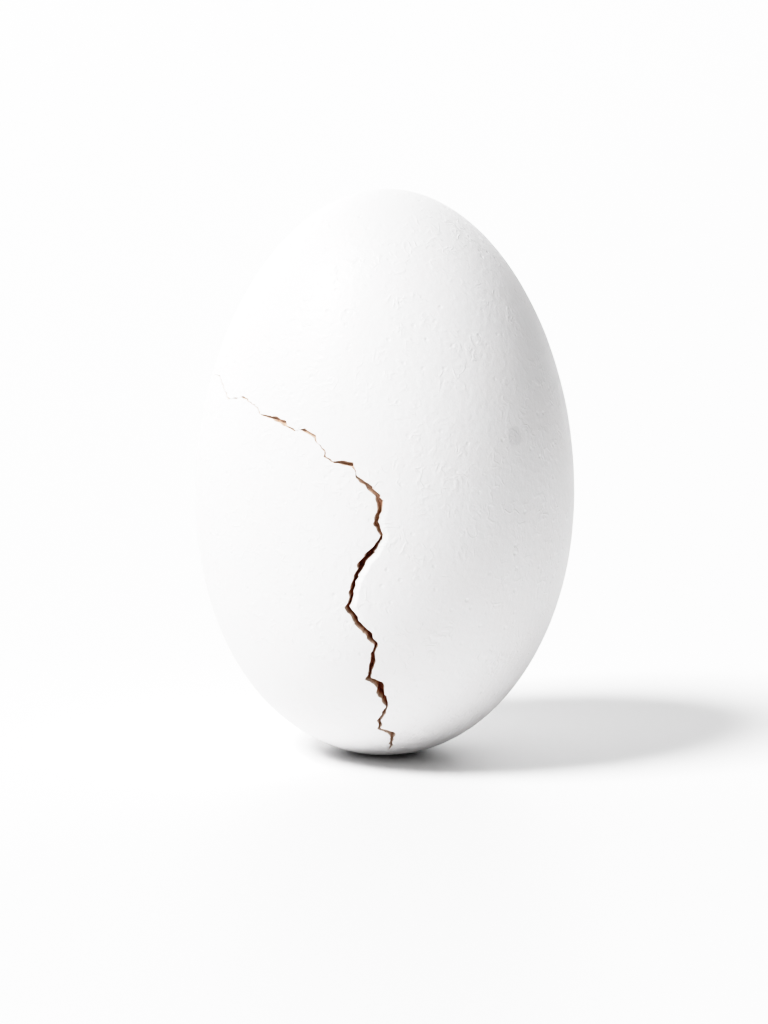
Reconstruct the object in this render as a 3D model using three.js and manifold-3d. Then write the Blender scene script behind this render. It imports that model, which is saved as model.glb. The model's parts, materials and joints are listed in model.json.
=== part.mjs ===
// A hen's egg that stands on its blunt end, with one jagged crack broken through the shell.
// Millimetres, +Z up. The origin is the centre of the small flat spot that the egg stands on,
// and the front of the egg, where the crack is widest, faces -Y.
import * as THREE from "three";
import { mergeVertices } from "three/addons/utils/BufferGeometryUtils.js";
import Module from "manifold-3d";

// Driving dimensions of the egg.
const LENGTH = 62; // from pole to pole, before the flat spot takes a little off the blunt end
const BREADTH = 41.3; // across the widest place
const POINTEDNESS = 0.069; // how much slimmer the upper end is than the lower one; 0 is even
const FULLNESS = 0.004; // how much fuller both ends are than an ellipse's; 0 is an ellipse
const FOOT_DIAMETER = 6; // the flat spot on the blunt end

// Driving dimensions of the crack.
const CRACK_WIDTH = 0.6; // at its widest place
const CRACK_DEPTH = 1.5; // below the shell's surface
const CRACK_FLOOR_WIDTH = 0.5; // at the bottom of the crack, as a share of its width at the top
const CUTTER_OVERRUN = 0.5; // how far the crack's cutter stands out of the surface

// The crack's corners, from its end on the left side down to its end above the flat spot.
// Each is [height in % of the egg's height, bearing in degrees, width in % of CRACK_WIDTH].
// Bearing 0 is the front of the egg, and a bearing is positive towards +X.
const CRACK_CORNERS = [
  [68, -76, 25],
  [66, -63.5, 25],
  [65, -58, 25],
  [66, -52.5, 25],
  [64.5, -46, 25],
  [63.2, -42, 35],
  [63.3, -37.5, 65],
  [62.4, -33.5, 60],
  [61.1, -28.5, 25],
  [61.4, -26, 35],
  [60.3, -22, 35],
  [57.7, -18, 25],
  [56.4, -15.5, 35],
  [56.3, -10.2, 60],
  [54.4, -8.4, 25],
  [53, -5.3, 40],
  [51, -2.3, 65],
  [49.6, -1.1, 90],
  [46.4, -2.6, 65],
  [44.3, -0.6, 40],
  [42.4, -2.2, 60],
  [39.5, -6.4, 85],
  [36, -9.2, 60],
  [31.6, -11.2, 65],
  [28.4, -7.7, 90],
  [25, -2.6, 75],
  [21.6, -4, 60],
  [18.3, -5.4, 50],
  [16.7, -0.9, 85],
  [14.8, -0.4, 100],
  [12.8, 1.6, 35],
  [9.8, -1.6, 40],
  [8.2, -2.2, 35],
  [6.4, 6, 40],
  [5, 4.9, 35],
  [3, 5, 25],
];

// How finely the round shape is faceted, and how exactly the flat spot's edge is found.
const SEGMENTS_AROUND = 64;
const SEGMENTS_ALONG = 40;
const HALVINGS = 60;

const SHELL_COLOUR = 0xf1f0ee;
const SHELL_ROUGHNESS = 0.6;

// The egg's half outline, from its upper pole down to the edge of the flat spot, with X as the
// distance from the axis and Y as the height. It is an ellipse with its two ends made unequal,
// and its parameter t runs evenly over the angle from the upper pole.
class EggOutline extends THREE.Curve {
  constructor() {
    super();
    this.footAngle = Math.PI;
    this.girth = 1;
    this.girth = BREADTH / 2 / Math.max(...this.getPoints(1000).map((p) => p.x));
    this.footAngle = this.#findFootAngle();
  }

  radius(angle) {
    const upward = Math.cos(angle);
    return this.girth * Math.sin(angle) * (1 - POINTEDNESS * upward + FULLNESS * upward ** 2);
  }

  // The angle on the lower half where the outline has narrowed to the flat spot.
  #findFootAngle() {
    let above = Math.PI / 2;
    let below = Math.PI;
    for (let i = 0; i < HALVINGS; i++) {
      const middle = (above + below) / 2;
      if (this.radius(middle) > FOOT_DIAMETER / 2) above = middle;
      else below = middle;
    }
    return above;
  }

  getPoint(t, target = new THREE.Vector2()) {
    const angle = t * this.footAngle;
    const height = (LENGTH / 2) * (Math.cos(angle) - Math.cos(this.footAngle));
    return target.set(this.radius(angle), height);
  }

  // The parameter of the outline's point at a height.
  parameterAt(height) {
    return Math.acos(height / (LENGTH / 2) + Math.cos(this.footAngle)) / this.footAngle;
  }
}

const outline = new EggOutline();
const EGG_HEIGHT = outline.getPoint(0).y;

// The whole egg: its half outline turned on a lathe, with the flat spot closing it below.
function wholeEgg() {
  const profile = [new THREE.Vector2(0, 0)];
  for (let i = SEGMENTS_ALONG; i > 0; i--) {
    profile.push(outline.getPoint(i / SEGMENTS_ALONG));
  }
  profile.push(new THREE.Vector2(0, EGG_HEIGHT));
  return new THREE.LatheGeometry(profile, SEGMENTS_AROUND).rotateX(Math.PI / 2);
}

// The point of the shell's surface at a height and a bearing, and the way straight out of it.
function surfaceAt(height, bearing) {
  const t = outline.parameterAt(height);
  const { x: radius } = outline.getPoint(t);
  const downward = outline.getTangent(t);
  const turn = new THREE.Matrix4().makeRotationZ(THREE.MathUtils.degToRad(bearing));
  return {
    point: new THREE.Vector3(0, -radius, height).applyMatrix4(turn),
    outward: new THREE.Vector3(0, downward.y, downward.x).applyMatrix4(turn),
  };
}

// The crack's cutter: a box with a ring of four vertices for each corner, bent along the crack.
// Its own X lies across the crack, its Y points out of the shell, and its Z counts the corners.
function crackCutter() {
  const corners = CRACK_CORNERS.map(([height, bearing, width]) => ({
    ...surfaceAt((height / 100) * EGG_HEIGHT, bearing),
    width: (width / 100) * CRACK_WIDTH,
  }));
  const last = corners.length - 1;
  const cutter = new THREE.BoxGeometry(1, 1, last, 1, 1, last);
  const vertices = cutter.getAttribute("position");
  for (let v = 0; v < vertices.count; v++) {
    const i = Math.round(vertices.getZ(v) + last / 2);
    const { point, outward, width } = corners[i];
    const before = corners[Math.max(i - 1, 0)].point;
    const after = corners[Math.min(i + 1, last)].point;
    const along = new THREE.Vector3().subVectors(after, before);
    const across = new THREE.Vector3().crossVectors(outward, along).normalize();
    const atTop = vertices.getY(v) > 0;
    const placed = point
      .clone()
      .addScaledVector(outward, atTop ? CUTTER_OVERRUN : -CRACK_DEPTH)
      .addScaledVector(across, vertices.getX(v) * width * (atTop ? 1 : CRACK_FLOOR_WIDTH));
    vertices.setXYZ(v, placed.x, placed.y, placed.z);
  }
  return cutter;
}

const wasm = await Module();
wasm.setup();

// A closed geometry as a solid that can be cut, without the flat triangles that turning an
// outline leaves on its axis.
function toSolid(geometry) {
  const bare = geometry.clone();
  bare.deleteAttribute("normal");
  bare.deleteAttribute("uv");
  const merged = mergeVertices(bare);
  const index = merged.getIndex().array;
  const triangles = [];
  for (let t = 0; t < index.length; t += 3) {
    const [a, b, c] = index.slice(t, t + 3);
    if (a !== b && b !== c && c !== a) triangles.push(a, b, c);
  }
  return new wasm.Manifold(
    new wasm.Mesh({
      numProp: 3,
      vertProperties: merged.getAttribute("position").array,
      triVerts: new Uint32Array(triangles),
    }),
  );
}

// A solid as a geometry with flat faces.
function toGeometry(solid) {
  const mesh = solid.getMesh();
  const geometry = new THREE.BufferGeometry()
    .setAttribute("position", new THREE.BufferAttribute(mesh.vertProperties, 3))
    .setIndex(new THREE.BufferAttribute(mesh.triVerts, 1))
    .toNonIndexed();
  geometry.computeVertexNormals();
  return geometry;
}

// The shell and what is in it, as the one closed body that an egg is until it is opened.
function makeEgg() {
  const cracked = toSolid(wholeEgg()).subtract(toSolid(crackCutter()));
  const shell = new THREE.MeshStandardMaterial({
    color: SHELL_COLOUR,
    roughness: SHELL_ROUGHNESS,
    metalness: 0,
  });
  const mesh = new THREE.Mesh(toGeometry(cracked), shell);
  mesh.name = "egg";
  return mesh;
}

const part = new THREE.Group();
part.add(makeEgg());

export default part;
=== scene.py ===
# %% [markdown]
# # A cracked hen's egg
#
# A white hen's egg stands on its blunt end, and a jagged crack runs from its left side to the
# front and down to the surface it stands on. This lesson builds it in Blender around a plain
# CAD model of the same egg. The CAD model fixes the size and the place, and it is what a
# physics engine rolls about. Blender adds what the eye looks for: a shell that isn't quite
# even, pores and wrinkles, a crack with broken walls, and good light.
#
# The frame of the CAD model comes first, because nothing may be larger than it or elsewhere.

# %% Load the frame
import json
import math

import bmesh
import bpy
import numpy as np
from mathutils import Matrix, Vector, kdtree, noise


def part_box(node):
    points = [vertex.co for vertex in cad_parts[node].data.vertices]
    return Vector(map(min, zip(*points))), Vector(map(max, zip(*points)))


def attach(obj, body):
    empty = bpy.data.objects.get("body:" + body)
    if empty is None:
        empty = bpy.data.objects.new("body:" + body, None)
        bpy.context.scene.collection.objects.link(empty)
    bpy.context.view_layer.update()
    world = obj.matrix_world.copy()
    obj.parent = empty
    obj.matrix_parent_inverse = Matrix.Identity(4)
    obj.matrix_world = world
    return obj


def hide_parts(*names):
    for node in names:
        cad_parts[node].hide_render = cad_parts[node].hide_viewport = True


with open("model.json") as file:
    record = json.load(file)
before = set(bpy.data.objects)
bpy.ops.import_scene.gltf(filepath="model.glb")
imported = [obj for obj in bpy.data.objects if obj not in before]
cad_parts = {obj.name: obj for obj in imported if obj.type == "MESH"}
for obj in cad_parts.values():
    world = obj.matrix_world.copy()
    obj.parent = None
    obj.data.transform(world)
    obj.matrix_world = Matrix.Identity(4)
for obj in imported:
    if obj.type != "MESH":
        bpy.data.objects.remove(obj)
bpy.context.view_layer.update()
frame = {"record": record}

MM = 0.001  # Blender's unit here is the metre, and an egg is easier to think about in millimetres

# %% [markdown]
# ## The egg's outline
#
# An egg is a body of revolution, so its whole shape is one curve. A hen's egg is close to an
# ellipse whose one end has been made slimmer. That takes two small numbers: how much slimmer
# the upper end is, and how full the ends are. A curve drawn by hand would do as well, but the
# formula is smooth everywhere, and smooth is what the eye checks on an egg.
#
# We keep the outline as a table. Its running measure is `travel`, the distance over the skin
# from the upper pole, because on a curved body that is the honest way to say "further down".

# %% Work out the outline from the CAD egg's box
POINTEDNESS = 0.069
FULLNESS = 0.004
FOOT_DIAMETER = 6 * MM
OUTLINE_POINTS = 20001

egg_low, egg_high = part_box("egg")
breadth = egg_high.x - egg_low.x
height = egg_high.z - egg_low.z


def swell(angle):
    """How far the outline is from the axis, at an angle from the upper pole, to a scale."""
    upward = np.cos(angle)
    return np.sin(angle) * (1 - POINTEDNESS * upward + FULLNESS * upward**2)


angles = np.linspace(0, math.pi, OUTLINE_POINTS)
girth = breadth / 2 / swell(angles).max()
below_middle = angles > math.pi / 2
angles = angles[~below_middle | (girth * swell(angles) > FOOT_DIAMETER / 2)]
length = 2 * height / (1 - math.cos(angles[-1]))
print(f"length {length / MM:.2f} mm, breadth {breadth / MM:.2f} mm")

# %% Tabulate the outline, with the flat spot that the egg stands on as its last stretch
radii = np.append(girth * swell(angles), 0)
heights = np.append(length / 2 * (np.cos(angles) - math.cos(angles[-1])), 0)
travels = np.append(0, np.cumsum(np.hypot(np.diff(radii), np.diff(heights))))
outward_radial = -np.gradient(heights, travels)
outward_up = np.gradient(radii, travels)
middle = height / 2
polar_angles = np.arctan2(radii, heights - middle)
print(f"from pole to foot over the skin: {travels[-1] / MM:.1f} mm")


# %% Go from places on the skin to points in space, and back
def skin(travel, bearing, rise=0.0):
    """Points that far down the skin from the upper pole, and that far out from it.

    A bearing of 0 is the front of the egg, and it grows to the right.
    """
    radius = np.interp(travel, travels, radii) + rise * np.interp(travel, travels, outward_radial)
    up = np.interp(travel, travels, heights) + rise * np.interp(travel, travels, outward_up)
    return np.stack([radius * np.sin(bearing), -radius * np.cos(bearing), up], axis=-1)


def places_on_skin(points):
    """The travel and bearing of the skin where rays from the egg's middle through points meet it."""
    x, y, z = np.asarray(points).T
    polar = np.arctan2(np.hypot(x, y), z - middle)
    return np.interp(polar, polar_angles, travels), np.arctan2(x, -y)


def travel_at(percent):
    """The travel at a height in % of the egg's height."""
    return np.interp(percent / 100 * height, heights[::-1], travels[::-1])


print(f"halfway up, the skin is {travel_at(50) / MM:.1f} mm from the pole")

# %% [markdown]
# ## The crack's route
#
# When a shell breaks, the crack runs straight for a millimetre or two and then turns, so its
# route is a list of corners. Then one side moves a little against the other. The two edges
# keep the same jags, so they would still fit together, and the gap is wide where the route
# runs across the movement and narrow where it runs along it. That is why we store how far the
# sides have moved apart at each corner, and one direction for the whole crack. Setting a
# width for each stretch by hand would look right too, but it wouldn't explain itself.

# %% List the crack's corners
# Each is (height in % of the egg's height, bearing in degrees, how far the sides moved in mm).
CRACK_CORNERS = [
    (67.8, -79, 0.12),
    (68.2, -71.5, 0.25),
    (66.1, -63.6, 0.14),
    (64.8, -59.4, 0.25),
    (65.2, -56.9, 0.38),
    (65.2, -54.8, 0.5),
    (65.7, -52.7, 0.44),
    (65.4, -49.5, 0.28),
    (64.7, -47, 0.12),
    (64.4, -43.8, 0.19),
    (63.4, -42.5, 0.15),
    (63, -38.8, 0.59),
    (63, -37.3, 0.92),
    (62.4, -33.3, 0.78),
    (61.8, -31.4, 0.33),
    (61.1, -28.6, 0.33),
    (61.5, -26.1, 0.65),
    (60.5, -22.3, 0.4),
    (60.1, -21.5, 0.22),
    (59.2, -20.5, 0.05),
    (57.9, -18.1, 0.22),
    (57.3, -17.9, 0.22),
    (56.4, -15.7, 0.2),
    (56.4, -14.1, 0.92),
    (56.2, -10.4, 0.98),
    (55.8, -9.4, 0.22),
    (54.4, -8.4, 0.13),
    (53.6, -7.1, 0.4),
    (52.3, -4.5, 0.52),
    (51.1, -2.3, 0.5),
    (49.9, -1.2, 0.65),
    (48.2, -1.6, 0.65),
    (46.4, -2.7, 0.59),
    (45, -1.2, 0.43),
    (44.3, -0.6, 0.28),
    (43.3, -1.5, 0.5),
    (42.5, -2.1, 0.56),
    (41.4, -3.8, 1.19),
    (39.6, -6.3, 1.06),
    (38.4, -7.2, 0.69),
    (36, -9.2, 0.5),
    (35, -9.5, 0.6),
    (33.3, -10.1, 0.41),
    (31.6, -11.2, 0.56),
    (29.1, -8.4, 0.62),
    (27.1, -5.6, 0.72),
    (25.1, -2.6, 0.52),
    (24.4, -2.7, 0.48),
    (23.1, -3.8, 0.48),
    (21.6, -4, 0.69),
    (19.1, -4.9, 0.45),
    (18.3, -5.4, 0.75),
    (17.5, -2.1, 0.94),
    (16.7, -0.9, 0.78),
    (15.6, -1.1, 0.8),
    (14.2, 0.5, 0.62),
    (12.8, 1.6, 0.28),
    (11.1, -0.2, 0.47),
    (9.8, -1.6, 0.42),
    (9.1, -1.2, 0.37),
    (8.2, -2.2, 0.4),
    (7, 3.9, 0.68),
    (6.2, 6.1, 0.48),
    (5, 4.9, 0.32),
    (4.1, 6.1, 0.34),
    (2.8, 5, 0.2),
]

print(f"{len(CRACK_CORNERS)} corners")

# %% Walk along the crack in short steps
SIDES_MOVED_UP = math.radians(20)  # the right side moved to the right and this much upward
CRACK_STEP = 0.14 * MM

corner_heights, corner_bearings, corner_openings = np.array(CRACK_CORNERS).T
corner_travels = travel_at(corner_heights)
corner_bearings = np.radians(corner_bearings)
sideways = np.diff(corner_bearings) * np.interp(corner_travels[1:], travels, radii)
runs = np.append(0, np.cumsum(np.hypot(sideways, np.diff(corner_travels))))
run = np.linspace(0, runs[-1], round(runs[-1] / CRACK_STEP))
route_travel = np.interp(run, runs, corner_travels)
route_bearing = np.interp(run, runs, corner_bearings)
route_opening = np.interp(run, runs, corner_openings) * MM
print(f"the crack is {runs[-1] / MM:.0f} mm long, in {len(run)} steps")

# %% [markdown]
# ## The crack's cutter
#
# A gap is easiest to make by cutting it with a solid of its own shape, so the cutter is a
# strip that follows the route and reaches from outside the shell to below it. Its sides are
# the crack's walls, turned inside out. Each side gets fine random jags: shared ones, because
# the two edges match, and a few of its own, where grains have fallen out. Further down, each
# level of a wall has jags of its own, so the break looks rough and not sawn.
#
# A break dies out slowly. It is deepest on the front of the egg, and shallow towards its two
# ends and wherever its sides have hardly moved.
#
# Jags move the wall only along the direction in which the sides moved. So the strip can't run
# into itself, however rough it gets, and that keeps it a proper solid.

# %% Set how deep the crack goes
CRACK_DEPTH = 1.5 * MM  # at its deepest
CLOSED_DEPTH = 0.2  # where the sides haven't moved, as a share of the crack's depth
DEEPER_PER_MM = 0.9  # the share that each millimetre of opening adds
DEPTH_ALONG = [  # how far along the crack, and how deep there, both as shares
    (0, 0.2),
    (0.35, 0.3),
    (0.5, 0.65),
    (0.6, 0.95),
    (0.85, 1),
    (1, 0.6),
]

deep = np.clip(CLOSED_DEPTH + DEEPER_PER_MM * route_opening / MM, 0, 1) * CRACK_DEPTH
deep = deep * np.interp(run / run[-1], *np.transpose(DEPTH_ALONG))
print(f"the crack is {deep.min() / MM:.2f} to {deep.max() / MM:.2f} mm deep")

# %% Make random jags
SHARED_JAGS = (0.45 * MM, 0.12 * MM)  # their spacing and their size
OWN_JAGS = (0.3 * MM, 0.07 * MM)

random = np.random.default_rng(7)


def jags(spacing, size):
    """Random steps along the crack, straight between knots about that far apart."""
    knots = np.cumsum(random.uniform(0.4, 1.6, math.ceil(run[-1] / spacing * 1.2)) * spacing)
    return np.interp(run, knots, random.uniform(-size, size, len(knots)))


shared = jags(*SHARED_JAGS)
left_edge = shared - route_opening / 2 + jags(*OWN_JAGS)
right_edge = shared + route_opening / 2 + jags(*OWN_JAGS)
print(f"the edges are up to {(right_edge - left_edge).max() / MM:.2f} mm apart")

# %% Shape the crack's two walls
NARROWEST = 0.07 * MM
WALL_LEVELS = [  # the share of the depth, how far the wall leans in there, and the roughness
    (-0.4, 0.0, 0.0),
    (0.0, 0.0, 0.0),
    (0.08, 0.05, 0.1),
    (0.25, 0.18, 0.4),
    (0.6, 0.4, 0.6),
    (1.0, 0.65, 0.6),
]
RIM = 1  # the level that lies in the skin


def wall(offset, rise):
    """The points of a wall that stands that far along the sides' movement from the route."""
    radius = np.interp(route_travel, travels, radii)
    bearing = route_bearing + offset * math.cos(SIDES_MOVED_UP) / radius
    travel = route_travel - offset * math.sin(SIDES_MOVED_UP)
    return skin(travel, bearing, rise)


left_walls, right_walls = [], []
for share, lean, roughness in WALL_LEVELS:
    left = left_edge + lean * route_opening / 2 + roughness * jags(*OWN_JAGS)
    right = right_edge - lean * route_opening / 2 + roughness * jags(*OWN_JAGS)
    too_near = np.maximum(NARROWEST - (right - left), 0) / 2
    left_walls.append(wall(left - too_near, -share * deep))
    right_walls.append(wall(right + too_near, -share * deep))
print(f"each wall has {len(WALL_LEVELS)} levels of {len(run)} points")

# %% Join the walls into a closed strip
rings = np.stack(left_walls + right_walls[::-1], axis=1)
steps, ring_size = rings.shape[:2]
faces = []
for i in range(steps - 1):
    for j in range(ring_size):
        a = i * ring_size + j
        b = i * ring_size + (j + 1) % ring_size
        faces.append((a, a + ring_size, b + ring_size, b))
faces.append(tuple(range(ring_size)))
faces.append(tuple(reversed(range((steps - 1) * ring_size, steps * ring_size))))
print(f"the strip has {len(faces)} faces")


# %% Make the cutter
def add_object(name, data):
    """A new object in the scene, with that mesh, lamp or camera in it."""
    added = bpy.data.objects.new(name, data)
    bpy.context.scene.collection.objects.link(added)
    return added


cutter_mesh = bpy.data.meshes.new("crack_cutter")
cutter_mesh.from_pydata(rings.reshape(-1, 3).tolist(), [], faces)
strip = bmesh.new()
strip.from_mesh(cutter_mesh)
bmesh.ops.triangulate(strip, faces=strip.faces)
bmesh.ops.recalc_face_normals(strip, faces=strip.faces)
strip.to_mesh(cutter_mesh)
strip.free()
cutter = add_object("crack_cutter", cutter_mesh)
print(f"the cutter has {len(cutter_mesh.polygons)} triangles")

# %% [markdown]
# ## The shell's skin
#
# The skin needs thousands of small, even faces, because its unevenness will be real shape. A
# globe's grid of meridians would crowd at the poles. A cube's grid, blown up to a ball and
# then fitted to the outline, has faces of nearly one size all over. Close to the crack each
# face is split into nine, so that its edges can bend there.

# %% Blow a cube up to a ball
CELLS = 104  # along each edge of the cube

ball = bmesh.new()
bmesh.ops.create_cube(ball, size=2)
bmesh.ops.subdivide_edges(ball, edges=ball.edges, cuts=CELLS - 1, use_grid_fill=True)
for vertex in ball.verts:
    vertex.co = Vector([math.tan(c * math.pi / 4) for c in vertex.co]).normalized()
print(f"the ball has {len(ball.faces)} faces")


# %% Find the faces close to the crack
FINE_WITHIN = 0.75 * MM  # of the crack's edges


def fitted(mesh):
    """Where the skin is, in the directions of the ball's vertices."""
    directions = np.array([vertex.co for vertex in mesh.verts])
    return skin(*places_on_skin(directions + [0, 0, middle]))


def finder(points):
    """A search tree that finds the nearest of these points to any other point."""
    found = kdtree.KDTree(len(points))
    for i, point in enumerate(points):
        found.insert(point, i)
    found.balance()
    return found


edges_of_crack = finder(np.concatenate([left_walls[RIM], right_walls[RIM]]))
ball.verts.index_update()
ball.edges.index_update()
to_crack = [edges_of_crack.find(Vector(point))[2] for point in fitted(ball)]
close_edges = {
    edge
    for face in ball.faces
    if min(to_crack[vertex.index] for vertex in face.verts) < FINE_WITHIN
    for edge in face.edges
}
print(f"{len(close_edges)} edges are close to the crack")

# %% Split them, and fit the ball to the egg
in_order = sorted(close_edges, key=lambda edge: edge.index)
bmesh.ops.subdivide_edges(ball, edges=in_order, cuts=2, use_grid_fill=True)
bmesh.ops.triangulate(ball, faces=ball.faces)
for vertex, point in zip(ball.verts, fitted(ball)):
    vertex.co = point
shell_mesh = bpy.data.meshes.new("eggshell")
ball.to_mesh(shell_mesh)
ball.free()
shell = add_object("eggshell", shell_mesh)
print(f"the whole skin has {len(shell_mesh.polygons)} triangles")

# %% Cut the crack
cut = shell.modifiers.new("crack", "BOOLEAN")
cut.operation = "DIFFERENCE"
cut.solver = "MANIFOLD"
cut.object = cutter
cut_shell = shell.evaluated_get(bpy.context.evaluated_depsgraph_get())
cracked = bpy.data.meshes.new_from_object(cut_shell)
shell.modifiers.clear()
shell.data = cracked
bpy.data.objects.remove(cutter)
print(f"the cracked shell has {len(cracked.polygons)} faces")

# %% [markdown]
# ## The shell's own unevenness
#
# A real shell is not turned on a lathe. It is very slightly out of round, it has shallow
# waves a few millimetres across, and its surface is finely pebbled. These are all smooth
# random rises and falls of different sizes, which is what noise gives. They move the skin by
# hundredths of a millimetre, and in soft light from one side that is enough to see. We move
# real vertices where the mesh is fine enough, and leave the finest grain to the material.
#
# Halfway down the crack, its right edge has sunk a little, as a broken flake does. The shell
# slopes into the crack there and catches the light, and its colour there is painted whiter
# as a painted highlight.

# %% Measure how far each vertex is below the skin
count = len(cracked.vertices)
flat_points = np.empty(count * 3)
cracked.vertices.foreach_get("co", flat_points)
points = flat_points.reshape(-1, 3)
travel, bearing = places_on_skin(points)
skin_points = skin(travel, bearing)
outward = skin(travel, bearing, 1.0) - skin_points
centre = np.array([0, 0, middle])
depth = np.linalg.norm(skin_points - centre, axis=1) - np.linalg.norm(points - centre, axis=1)
print(f"the crack's floor is up to {depth.max() / MM:.2f} mm below the skin")

# %% Work out the shell's rises and falls
RELIEF = [  # the size of the rises in mm, and how far they move the skin in mm
    (15, 0.06),
    (4.5, 0.014),
    (1.7, 0.006),
]


def rises(point):
    """How far in mm the shell's unevenness moves the skin at a point."""
    return sum(rise * noise.noise(Vector(point) / MM / size) for size, rise in RELIEF)


relief = np.array([rises(point) for point in skin_points]) * MM
print(f"the skin is uneven by up to {np.abs(relief).max() / MM:.3f} mm")

# %% Sink the crack's right edge
LIP_REACH = 0.6 * MM  # how far from the crack the sunk lip begins
LIP_DROP = 0.2 * MM  # at the edge
LIP_ALONG = [(29, 0), (33, 1), (41, 1), (46, 0.4), (52, 0)]  # height in %, share of the drop
LIP_HIGHLIGHT_FADE = 0.25  # the share of the lip over which its painted highlight fades in

left_rim = finder(left_walls[RIM])
right_rim = finder(right_walls[RIM])
lip_share = np.interp(right_walls[RIM][:, 2] / height * 100, *np.transpose(LIP_ALONG))
# The sunk lip also gets a painted highlight: its colour is painted whiter where it slopes towards
# the light.
bared = np.zeros(count)
for i in np.nonzero(np.abs(bearing) < math.pi / 2)[0]:
    _, step, to_right = right_rim.find(skin_points[i])
    if to_right < LIP_REACH and to_right <= left_rim.find(skin_points[i])[2]:
        sunk = 1 - to_right / LIP_REACH
        relief[i] -= LIP_DROP * lip_share[step] * sunk
        bared[i] = lip_share[step] * min(1, sunk / LIP_HIGHLIGHT_FADE)
print(f"the lip has {np.count_nonzero(bared)} vertices")

# %% Move the vertices, and keep the foot flat
FOOT_FADE = 0.5 * MM  # how high above the foot the unevenness is whole again

standing = np.clip(points[:, 2] / FOOT_FADE, 0, 1)
points += outward * (relief * standing)[:, None]
points[:, 2] = np.maximum(points[:, 2], 0)
cracked.vertices.foreach_set("co", points.ravel())
cracked.update()
print(f"the lowest vertex is at {points[:, 2].min() / MM:.3f} mm")


# %% Store how deep each vertex is, how much painted highlight it gets, and where the shading has sharp edges
SHARP_FROM = math.radians(40)


def store(name, values):
    """Keeps a number at each vertex, where a material can look it up."""
    attribute = cracked.attributes.new(name, "FLOAT", "POINT")
    attribute.data.foreach_set("value", values.astype(np.float32))


store("depth_mm", np.maximum(depth, 0) / MM)
# The share of the sunk lip's painted highlight.
store("bared", bared)
cracked.shade_smooth()
cracked.set_sharp_from_angle(angle=SHARP_FROM)
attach(shell, "root")
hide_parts("egg")
print("stored:", [attribute.name for attribute in cracked.attributes if attribute.domain == "POINT"])

# %% [markdown]
# ## Shader maths as Python
#
# A material is a net of nodes. Typed out node by node it is long and hard to read, so we wrap
# a node's output in a small class. On it, `1 - mask` or `mask * 0.5` adds the Math node that
# does the sum, and `make` adds any other node.

# %% Wrap a node's output
class Link:
    """One output of a node. Sums on it add Math nodes to the same material."""

    def __init__(self, tree, socket):
        self.tree = tree
        self.socket = socket

    @classmethod
    def make(cls, tree, kind, settings=None, inputs=None, output=0):
        """Adds a node: its settings first, then the values or links of its inputs."""
        node = tree.nodes.new(kind)
        for name, value in (settings or {}).items():
            if name == "stops":
                cls.set_stops(node.color_ramp.elements, value)
            else:
                setattr(node, name, value)
        for name, value in (inputs or {}).items():
            if isinstance(value, Link):
                tree.links.new(value.socket, node.inputs[name])
            else:
                node.inputs[name].default_value = value
        return cls(tree, node.outputs[output] if node.outputs else None)

    @staticmethod
    def set_stops(elements, stops):
        """Gives a ramp its stops. A new ramp has two already."""
        for place, _ in stops[2:]:
            elements.new(place)
        for element, (place, colour) in zip(elements, stops):
            element.position = place
            element.color = (*colour, 1)

    def calculate(self, operation, *values, clamp=False):
        """Adds a Math node that works on these values or links."""
        settings = {"operation": operation, "use_clamp": clamp}
        return self.make(self.tree, "ShaderNodeMath", settings, dict(enumerate(values)))

    def __add__(self, other):
        return self.calculate("ADD", self, other)

    def __radd__(self, other):
        return self.calculate("ADD", other, self)

    def __sub__(self, other):
        return self.calculate("SUBTRACT", self, other)

    def __rsub__(self, other):
        return self.calculate("SUBTRACT", other, self)

    def __mul__(self, other):
        return self.calculate("MULTIPLY", self, other)

    def __rmul__(self, other):
        return self.calculate("MULTIPLY", other, self)

    def __abs__(self):
        return self.calculate("ABSOLUTE", self)

    def clamped(self):
        """The same number, kept between 0 and 1."""
        return self.calculate("ADD", self, 0, clamp=True)


# %% Start, mix and finish a material
def mixed(share, below, above):
    """A colour between two, by a share from 0 to 1. A Mix node's colours are its sockets 6 and 7."""
    inputs = {0: share, 6: below, 7: above}
    return Link.make(share.tree, "ShaderNodeMix", {"data_type": "RGBA"}, inputs, output=2)


def new_material(name):
    """An empty material and its net of nodes."""
    material = bpy.data.materials.new(name)
    material.use_nodes = True
    material.node_tree.nodes.clear()
    return material, material.node_tree


def finish_surface(tree, inputs):
    """Adds the surface shader with these inputs, and shows it."""
    surface = Link.make(tree, "ShaderNodeBsdfPrincipled", inputs=inputs)
    Link.make(tree, "ShaderNodeOutputMaterial", inputs={"Surface": surface})
    print(f"the material has {len(tree.nodes)} nodes")


# %% [markdown]
# ## The shell's finish
#
# Eggshell is chalk. It is white and dull, with the faintest sheen. Its colour is almost even:
# there are blotches a shade warmer, and here and there a small grey spot where the shell is
# thin and moist. The fine surface has three kinds of mark: a pebbled grain, short wrinkles
# that lie in patches, and scattered pores like pinpricks. Noise makes the first two, and
# cells with a dot in each make the last. A painted texture could hold all of it, but nodes
# stay sharp however close the eye comes, and they need no seams.
#
# All of it is measured in millimetres on the egg, so the marks have their real size.

# %% Measure the marks in millimetres
shell_material, tree = new_material("eggshell")
shell.data.materials.clear()
shell.data.materials.append(shell_material)

place = Link.make(tree, "ShaderNodeTexCoord", output="Object")
inputs = {0: place, "Scale": 1 / MM}
place = Link.make(tree, "ShaderNodeVectorMath", {"operation": "SCALE"}, inputs)


def soft_noise(scale, detail=2.0, distortion=0.0):
    """Noise with that many rises to the millimetre."""
    inputs = {"Vector": place, "Scale": scale, "Detail": detail, "Distortion": distortion}
    return Link.make(tree, "ShaderNodeTexNoise", inputs=inputs)


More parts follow.
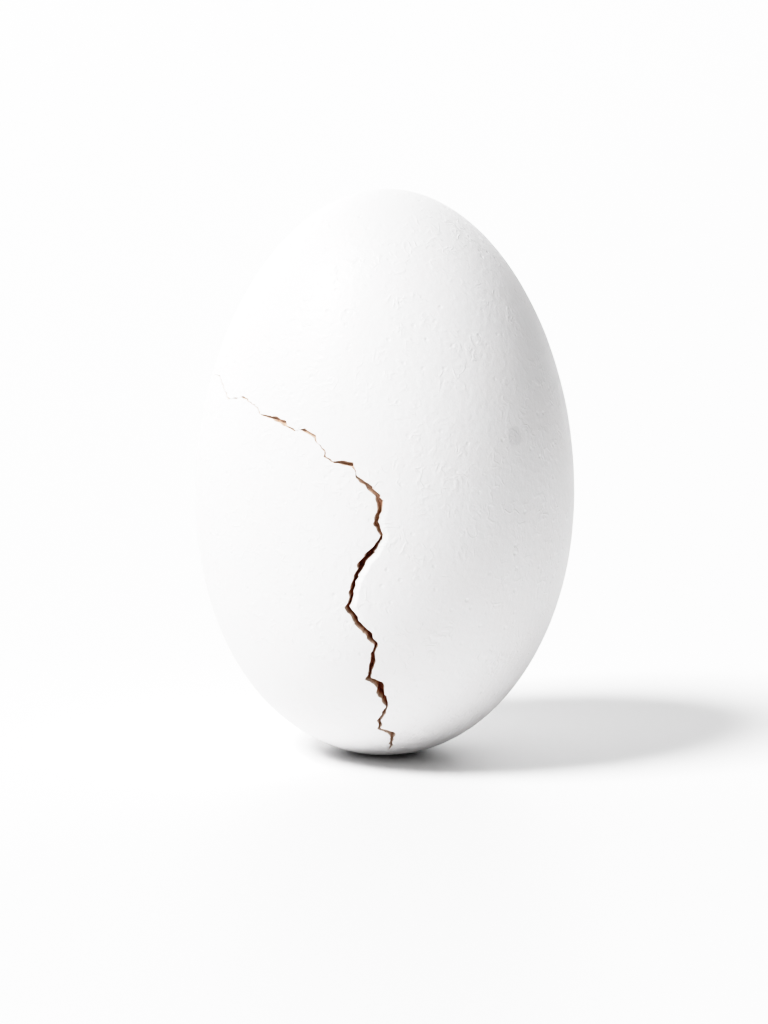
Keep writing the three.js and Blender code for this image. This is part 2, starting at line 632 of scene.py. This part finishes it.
def dots(scale, sharpness):
    """Dots at random places, that many to the millimetre, and smaller the sharper they are."""
    inputs = {"Vector": place, "Scale": scale, "Randomness": 1.0}
    cells = Link.make(tree, "ShaderNodeTexVoronoi", inputs=inputs)
    return (1 - cells * sharpness).clamped()


def above(field, start, steepness):
    """0 where a field is below the start, then rising to 1."""
    return ((field - start) * steepness).clamped()


print("the marks are measured from the middle of the egg's foot")

# %% Colour the shell, with its blotches
SHELL_WHITE = (0.80, 0.793, 0.796, 1)
SHELL_WARM = (0.80, 0.785, 0.785, 1)
SHELL_GREY = (0.45, 0.45, 0.46, 1)

blotches = above(soft_noise(0.12), 0.45, 3)
colour = mixed(blotches, SHELL_WHITE, SHELL_WARM)
print("the shell's white:", SHELL_WHITE[:3])

# %% Add grey spots and specks
SPOTS = [  # height in %, bearing in degrees, diameter in mm, and how dark
    (59.9, 43.1, 2.3, 0.2),
    (41, 24.5, 1.8, 0.02),
    (28.4, 14.6, 2.4, 0.015),
]
SPOT_RAGGEDNESS = 0.4  # in mm
SPOT_EDGE = 3  # how quickly a spot darkens inwards, per mm
SPECK_DARKNESS = 0.6

for percent, degrees, diameter, darkness in SPOTS:
    spot_middle = skin(travel_at(percent), math.radians(degrees)) / MM
    inputs = {0: place, 1: spot_middle}
    away = Link.make(tree, "ShaderNodeVectorMath", {"operation": "DISTANCE"}, inputs, "Value")
    ragged = away + (soft_noise(1.5) - 0.5) * SPOT_RAGGEDNESS
    spot = ((diameter / 2 - ragged) * SPOT_EDGE).clamped() * darkness
    colour = mixed(spot, colour, SHELL_GREY)
colour = mixed(dots(0.22, 24) * SPECK_DARKNESS, colour, SHELL_GREY)
print(f"{len(SPOTS)} spots")

# %% Raise the grain and the wrinkles, and sink the pores
GRAIN_HEIGHT = 0.06  # these three are in mm
WRINKLE_HEIGHT = 0.032
PORE_DEPTH = 0.06

grain = soft_noise(1.3, detail=3.0)
patches = above(soft_noise(0.2, detail=1.0), 0.4, 6) * above(soft_noise(0.7, detail=1.0), 0.45, 8)
wrinkles = 1 - (abs(soft_noise(0.8, detail=1.5, distortion=0.6) - 0.5) * 11).clamped()
pores = dots(0.6, 6)
relief_mm = grain * GRAIN_HEIGHT + wrinkles * patches * WRINKLE_HEIGHT - pores * PORE_DEPTH
inputs = {"Strength": 1.0, "Distance": MM, "Height": relief_mm}
bump = Link.make(tree, "ShaderNodeBump", inputs=inputs)
print(f"grain {GRAIN_HEIGHT} mm, wrinkles {WRINKLE_HEIGHT} mm, pores {PORE_DEPTH} mm")

# %% [markdown]
# ## The crack's finish
#
# A fresh break shows what is under the skin. The sunk lip is painted whiter than the rest, as a
# painted highlight where it slopes towards the light. Inside the crack, the colour follows the
# depth. The broken edge of the shell is a pale tan and the skin under it is red-brown; further
# down the colour is painted dark, as painted shade. Both the depth and the lip's painted
# highlight are numbers that we stored at every vertex, so the material only has to look them
# up. Painting the crack by hand would take longer, and it would slip whenever the route changed.

# %% Paint a highlight on the sunk lip, and colour the break by its depth, with painted shade deeper down
# The colour of the sunk lip's painted highlight.
PAINTED_LIP_HIGHLIGHT = (0.93, 0.93, 0.925, 1)
# The tan edge and the red-brown skin are the break's own colours; the darkening further down is
# painted shade, standing in for the dark hollow behind the shell.
BREAK_COLOUR_AND_SHADE_STOPS = [  # the depth as a share of the crack's depth, and the colour there, darker deeper down as painted shade
    (0.0, (0.76, 0.70, 0.65)),
    (0.08, (0.58, 0.47, 0.40)),
    (0.28, (0.44, 0.29, 0.215)),
    (0.55, (0.34, 0.165, 0.105)),
    (1.0, (0.22, 0.09, 0.05)),
]
CRUMBS = 0.25  # how far in mm the colours wander up and down


def looked_up(name):
    """The number that is stored at the vertices under that name."""
    return Link.make(tree, "ShaderNodeAttribute", {"attribute_name": name}, output="Fac")


# Paint the sunk lip whiter, as a painted highlight.
colour = mixed(looked_up("bared"), colour, PAINTED_LIP_HIGHLIGHT)
depth_mm = looked_up("depth_mm")
broken = (depth_mm * 40).clamped()
crumbs = (soft_noise(5.0, detail=3.0) - 0.5) * CRUMBS
depth_share = (depth_mm + crumbs) * (MM / CRACK_DEPTH)
inputs = {"Fac": depth_share}
# The break's colour, painted darker with depth as painted shade.
break_colour_and_shade = Link.make(tree, "ShaderNodeValToRGB", {"stops": BREAK_COLOUR_AND_SHADE_STOPS}, inputs)
colour = mixed(broken, colour, break_colour_and_shade)
print(f"{len(BREAK_COLOUR_AND_SHADE_STOPS)} colours down the break")

# %% Finish the shell's surface
SHELL_ROUGHNESS = 0.48
SHELL_GLOSS = 0.4

roughness = SHELL_ROUGHNESS + blotches * 0.06 + broken * 0.3
inputs = {"Base Color": colour, "Roughness": roughness, "Normal": bump}
finish_surface(tree, inputs | {"Specular IOR Level": SHELL_GLOSS})

# %% [markdown]
# ## The floor and the light
#
# The egg stands on a pale, slightly glossy floor. A soft lamp high on the left gives it form,
# and its shadow falls to the right and a little back. The rest of the light comes from a
# bright room: brightest behind and to the left, dimmer in front, so that the egg's right side
# turns grey and stands out from the white around it.
#
# The lamp is a sun. A lamp close by would light the near floor more than the far floor, and
# the white around the egg has to be even. The room is a few soft panels in the world's
# background, each with its own direction, because real panels would have to be kept out of
# the view and the shadow.

# %% Lay the floor
FLOOR_RADIUS = 6.0
FLOOR_GREY = 0.88

disc = bmesh.new()
bmesh.ops.create_circle(disc, cap_ends=True, segments=96, radius=FLOOR_RADIUS)
floor_mesh = bpy.data.meshes.new("floor")
disc.to_mesh(floor_mesh)
disc.free()
floor = add_object("floor", floor_mesh)
floor.location.z = frame["record"]["mounts"][0]["pos_m"][2]

floor_material, tree = new_material("floor")
floor_mesh.materials.append(floor_material)
inputs = {"Base Color": (FLOOR_GREY,) * 3 + (1,), "Roughness": 0.42, "Specular IOR Level": 0.3}
finish_surface(tree, inputs)


# %% Light the room with large soft panels
PANELS = [  # bearing and elevation in degrees, and brightness; bearing 0 is in front of the egg
    (180, 10, 2.04),
    (225, 10, 1.1),
    (0, 10, 0.46),
]
PANEL_FOCUS = 3  # how quickly a panel fades from its middle
ROOM_BRIGHTNESS = 0.05  # of the walls between the panels


def towards(bearing, elevation):
    """The direction from the egg at a bearing and an elevation in degrees."""
    bearing, elevation = math.radians(bearing), math.radians(elevation)
    level = math.cos(elevation)
    return Vector((math.sin(bearing) * level, -math.cos(bearing) * level, math.sin(elevation)))


room = bpy.data.worlds.new("room")
room.use_nodes = True
tree = room.node_tree
tree.nodes.clear()
looking = Link.make(tree, "ShaderNodeTexCoord", output="Generated")
brightness = ROOM_BRIGHTNESS
for bearing_there, elevation_there, panel_brightness in PANELS:
    inputs = {0: looking, 1: towards(bearing_there, elevation_there)}
    facing = Link.make(tree, "ShaderNodeVectorMath", {"operation": "DOT_PRODUCT"}, inputs, "Value")
    panel = facing.calculate("POWER", facing.clamped(), PANEL_FOCUS)
    brightness = panel * panel_brightness + brightness
inputs = {"Color": (1, 1, 1, 1), "Strength": brightness}
background = Link.make(tree, "ShaderNodeBackground", inputs=inputs)
Link.make(tree, "ShaderNodeOutputWorld", inputs={"Surface": background})
bpy.context.scene.world = room
print(f"the room has {len(PANELS)} panels")

# %% Hang the lamp
LAMP_BEARING = -61  # on the left, and a little to the front
LAMP_ELEVATION = 51.2
LAMP_WIDTH = 20  # as an angle, which sets how soft the shadow is
LAMP_STRENGTH = 5.8

lamp = bpy.data.lights.new("lamp", "SUN")
lamp.angle = math.radians(LAMP_WIDTH)
lamp.energy = LAMP_STRENGTH
lamp_object = add_object("lamp", lamp)
lamp_direction = towards(LAMP_BEARING, LAMP_ELEVATION)
lamp_object.rotation_euler = lamp_direction.to_track_quat("Z", "Y").to_euler()
shadow_length = height / math.tan(math.radians(LAMP_ELEVATION))
print(f"the shadow is about {shadow_length / MM:.0f} mm long")

# %% [markdown]
# ## The camera
#
# A long lens from a little above the egg's middle keeps its shape true, and leaves room
# around it. The picture's tones need a soft shoulder, so that whites stay white without
# burning out, and a short toe, so that the crack stays dark. Standard colours with a curve
# give us both. A stronger look would do it by itself, but it would turn the shell grey.

# %% Place the camera
CAMERA_ELEVATION = 9  # in degrees
CAMERA_ROLL = 0.5  # in degrees
CAMERA_DISTANCE = 403.7 * MM
AIM = Vector((-0.08 * MM, 0, 26.5 * MM))
LENS = 130
SENSOR_WIDTH = 36

camera = bpy.data.cameras.new("camera")
camera.lens = LENS
camera.sensor_width = SENSOR_WIDTH
camera.clip_start = 0.01
camera_object = add_object("camera", camera)
back = towards(0, CAMERA_ELEVATION)
camera_object.location = AIM + back * CAMERA_DISTANCE
camera_object.rotation_euler = back.to_track_quat("Z", "Y").to_euler()
camera_object.rotation_euler.rotate_axis("Z", math.radians(CAMERA_ROLL))
bpy.context.scene.camera = camera_object
print("the camera is at", [round(c / MM) for c in camera_object.location], "mm")

# %% Set the picture's tones
TONES = [  # how bright a thing is, and how bright it is shown, as shares of full white
    (0.03, 0.005),
    (0.1, 0.065),
    (0.3, 0.285),
    (0.55, 0.55),
    (0.75, 0.71),
    (1, 0.834),
    (1.3, 0.915),
    (1.65, 0.965),
]
BRIGHTEST = 1.9  # shown as full white

view = bpy.context.scene.view_settings
view.view_transform = "Standard"
view.use_curve_mapping = True
view.curve_mapping.white_level = (BRIGHTEST,) * 3
curve = view.curve_mapping.curves[3]
for light, shown in TONES:
    curve.points.new(light / BRIGHTEST, shown)
view.curve_mapping.update()
print(f"the curve has {len(curve.points)} points")
